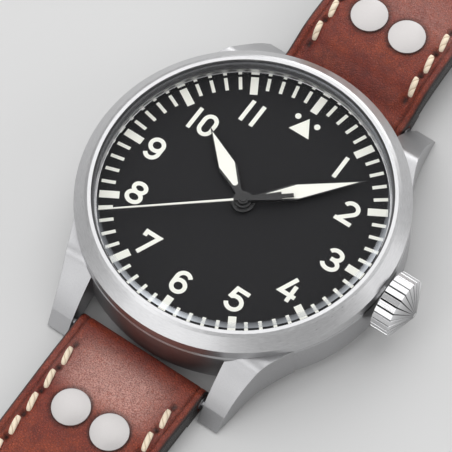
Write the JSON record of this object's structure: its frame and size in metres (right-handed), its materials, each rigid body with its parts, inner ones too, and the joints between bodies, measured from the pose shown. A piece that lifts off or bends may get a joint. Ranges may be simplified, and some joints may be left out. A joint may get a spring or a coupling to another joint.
{
  "type": "pilot watch",
  "caption": "Steel pilot watch: fluted crown, black dial with luminous hands, automatic movement and a riveted leather strap laid open with its buckle.",
  "frame": {"origin": "centre of the case back's flat outer face", "axes": "+Z out of the crystal, +Y towards 12 o'clock along the strap, +X towards the crown"},
  "size_m": [0.0465, 0.2522, 0.0117],
  "materials": {
    "satin_steel": "satin",
    "polished_steel": "polished",
    "work_steel": "satin",
    "rotor_steel": "satin",
    "plated_brass": "satin",
    "brass": "satin",
    "crystal": "polished",
    "dial_black": "matte",
    "white_paint": "matte",
    "lume": "matte",
    "seal": "matte",
    "holder_plastic": "matte",
    "brown_leather": "satin",
    "lining_leather": "matte"
  },
  "bodies": {
    "case": {"mid_case": "satin_steel", "bezel": "satin_steel", "crystal": "crystal", "crystal_gasket": "seal", "rehaut_ring": "polished_steel", "dial": "dial_black", "movement_ring": "holder_plastic", "main_plate": "plated_brass", "train_bridge": "plated_brass", "balance_cock": "plated_brass", "pallet_bridge": "work_steel", "bridge_screws": "work_steel", "rotor_bearing": "work_steel", "crown_tube": "work_steel", "case_back": "satin_steel", "case_back_gasket": "seal", "spring_bar_6": "work_steel", "spring_bar_12": "work_steel"},
    "seconds": {"fourth_wheel": "brass", "seconds_hand": "white_paint"},
    "minutes": {"cannon_pinion": "brass", "minute_hand": "dial_black", "minute_hand_lume": "lume"},
    "hours": {"hour_wheel": "brass", "hour_hand": "dial_black", "hour_hand_lume": "lume"},
    "minute_wheel": {"minute_wheel": "brass"},
    "third_wheel": {"third_wheel": "brass"},
    "great_wheel": {"great_wheel": "brass"},
    "barrel": {"mainspring_barrel": "brass", "mainspring": "work_steel"},
    "escape_wheel": {"escape_wheel": "work_steel"},
    "pallet_fork": {"pallet_fork": "work_steel"},
    "balance": {"balance_wheel": "brass", "hairspring": "work_steel"},
    "rotor": {"rotor": "rotor_steel"},
    "winding_pinion": {"winding_pinion": "work_steel"},
    "crown": {"crown": "polished_steel", "winding_stem": "work_steel", "crown_gasket": "seal"},
    "clutch": {"sliding_clutch": "work_steel"},
    "setting_lever": {"setting_lever": "work_steel"},
    "clutch_yoke": {"clutch_yoke": "work_steel"},
    "crown_wheel": {"crown_wheel": "work_steel"},
    "winding_wheel": {"winding_wheel": "work_steel"},
    "ratchet_wheel": {"ratchet_wheel": "work_steel"},
    "strap_6": {"strap_6_leather": "brown_leather", "strap_6_lining": "lining_leather", "strap_6_rivets": "polished_steel"},
    "strap_12": {"strap_12_leather": "brown_leather", "strap_12_lining": "lining_leather", "strap_12_rivets": "polished_steel", "fixed_keeper": "brown_leather", "buckle_bar": "satin_steel"},
    "sliding_keeper": {"sliding_keeper": "brown_leather"},
    "buckle": {"buckle_frame": "satin_steel"},
    "tongue": {"buckle_tongue": "satin_steel"}
  },
  "joints": [
    {"name": "seconds_turn", "type": "hinge", "parent": "case", "child": "seconds", "pos_m": [0, 0, 0.005], "axis": [0, 0, -1], "continuous": true},
    {"name": "minutes_turn", "type": "hinge", "parent": "case", "child": "minutes", "pos_m": [0, 0, 0.008], "axis": [0, 0, -1], "continuous": true},
    {"name": "hours_turn", "type": "hinge", "parent": "case", "child": "hours", "pos_m": [0, 0, 0.008], "axis": [0, 0, -1], "continuous": true},
    {"name": "minute_wheel_turn", "type": "hinge", "parent": "case", "child": "minute_wheel", "pos_m": [-0.00283, -0.00337, 0.0075], "axis": [0, 0, -1], "continuous": true},
    {"name": "third_wheel_turn", "type": "hinge", "parent": "case", "child": "third_wheel", "pos_m": [-0.00324, 0.00247, 0.005], "axis": [0, 0, -1], "continuous": true},
    {"name": "great_wheel_turn", "type": "hinge", "parent": "case", "child": "great_wheel", "pos_m": [-0.0006, 0.00574, 0.0045], "axis": [0, 0, -1], "continuous": true},
    {"name": "barrel_turn", "type": "hinge", "parent": "case", "child": "barrel", "pos_m": [0.0042, 0.00519, 0.005], "axis": [0, 0, -1], "continuous": true},
    {"name": "escape_wheel_turn", "type": "hinge", "parent": "case", "child": "escape_wheel", "pos_m": [-0.00195, -0.00338, 0.005], "axis": [0, 0, -1], "continuous": true},
    {"name": "pallet_fork_swing", "type": "hinge", "parent": "case", "child": "pallet_fork", "pos_m": [-0.00005, -0.00493, 0.005], "axis": [0, 0, 1], "range_deg": [-5, 5]},
    {"name": "balance_swing", "type": "hinge", "parent": "case", "child": "balance", "pos_m": [0.0026, -0.0071, 0.0044], "axis": [0, 0, 1], "range_deg": [-270, 270], "stiffness_Nm_per_rad": 0.00000055},
    {"name": "rotor_turn", "type": "hinge", "parent": "case", "child": "rotor", "pos_m": [0, 0, 0.0018], "axis": [0, 0, 1], "continuous": true},
    {"name": "crown_turn", "type": "hinge", "parent": "case", "child": "winding_pinion", "pos_m": [0.0108, 0, 0.00645], "axis": [1, 0, 0], "continuous": true},
    {"name": "crown_pull", "type": "slide", "parent": "winding_pinion", "child": "crown", "axis": [1, 0, 0], "range_m": [0, 0.0012]},
    {"name": "clutch_slide", "type": "slide", "parent": "winding_pinion", "child": "clutch", "axis": [1, 0, 0], "range_m": [-0.0007, 0]},
    {"name": "setting_lever_swing", "type": "hinge", "parent": "case", "child": "setting_lever", "pos_m": [0.007, 0.00309, 0.0071], "axis": [0, 0, 1], "range_deg": [0, 22]},
    {"name": "clutch_yoke_swing", "type": "hinge", "parent": "case", "child": "clutch_yoke", "pos_m": [0.0092, -0.00307, 0.00645], "axis": [0, 0, 1], "range_deg": [0, 15.8]},
    {"name": "crown_wheel_turn", "type": "hinge", "parent": "case", "child": "crown_wheel", "pos_m": [0.009, 0, 0.004], "axis": [0, 0, 1], "continuous": true},
    {"name": "winding_wheel_turn", "type": "hinge", "parent": "case", "child": "winding_wheel", "pos_m": [0.00652, 0.00148, 0.0028], "axis": [0, 0, 1], "continuous": true},
    {"name": "ratchet_wheel_turn", "type": "hinge", "parent": "case", "child": "ratchet_wheel", "pos_m": [0.0042, 0.00519, 0.0028], "axis": [0, 0, 1], "continuous": true},
    {"name": "strap_6_swing", "type": "hinge", "parent": "case", "child": "strap_6", "pos_m": [0, -0.0226, 0.00165], "axis": [1, 0, 0], "range_deg": [-45, 100]},
    {"name": "strap_12_swing", "type": "hinge", "parent": "case", "child": "strap_12", "pos_m": [0, 0.0226, 0.00165], "axis": [-1, 0, 0], "range_deg": [-45, 100]},
    {"name": "keeper_slide", "type": "slide", "parent": "strap_12", "child": "sliding_keeper", "axis": [0, 1, 0], "range_m": [-0.008, 0.007]},
    {"name": "buckle_swing", "type": "hinge", "parent": "strap_12", "child": "buckle", "pos_m": [0, 0.0976, 0.00282], "axis": [1, 0, 0], "range_deg": [-80, 40]},
    {"name": "tongue_swing", "type": "hinge", "parent": "buckle", "child": "tongue", "pos_m": [0, 0.0976, 0.00282], "axis": [1, 0, 0], "range_deg": [0, 85]}
  ],
  "couplings": [
    {"joint": "minutes_turn", "follows": "seconds_turn", "ratio": 0.016667},
    {"joint": "hours_turn", "follows": "seconds_turn", "ratio": 0.0013889},
    {"joint": "minute_wheel_turn", "follows": "seconds_turn", "ratio": -0.0055556},
    {"joint": "third_wheel_turn", "follows": "seconds_turn", "ratio": -0.13333},
    {"joint": "great_wheel_turn", "follows": "seconds_turn", "ratio": 0.014815},
    {"joint": "barrel_turn", "follows": "seconds_turn", "ratio": -0.0021164},
    {"joint": "escape_wheel_turn", "follows": "seconds_turn", "ratio": -12},
    {"joint": "crown_wheel_turn", "follows": "crown_turn", "ratio": 0.5},
    {"joint": "winding_wheel_turn", "follows": "crown_turn", "ratio": -0.325},
    {"joint": "ratchet_wheel_turn", "follows": "crown_turn", "ratio": 0.21667},
    {"joint": "clutch_slide", "follows": "crown_pull", "ratio": -0.58333},
    {"joint": "setting_lever_swing", "follows": "crown_pull", "rad_per_m": 319.41},
    {"joint": "clutch_yoke_swing", "follows": "crown_pull", "rad_per_m": 229.48}
  ]
}
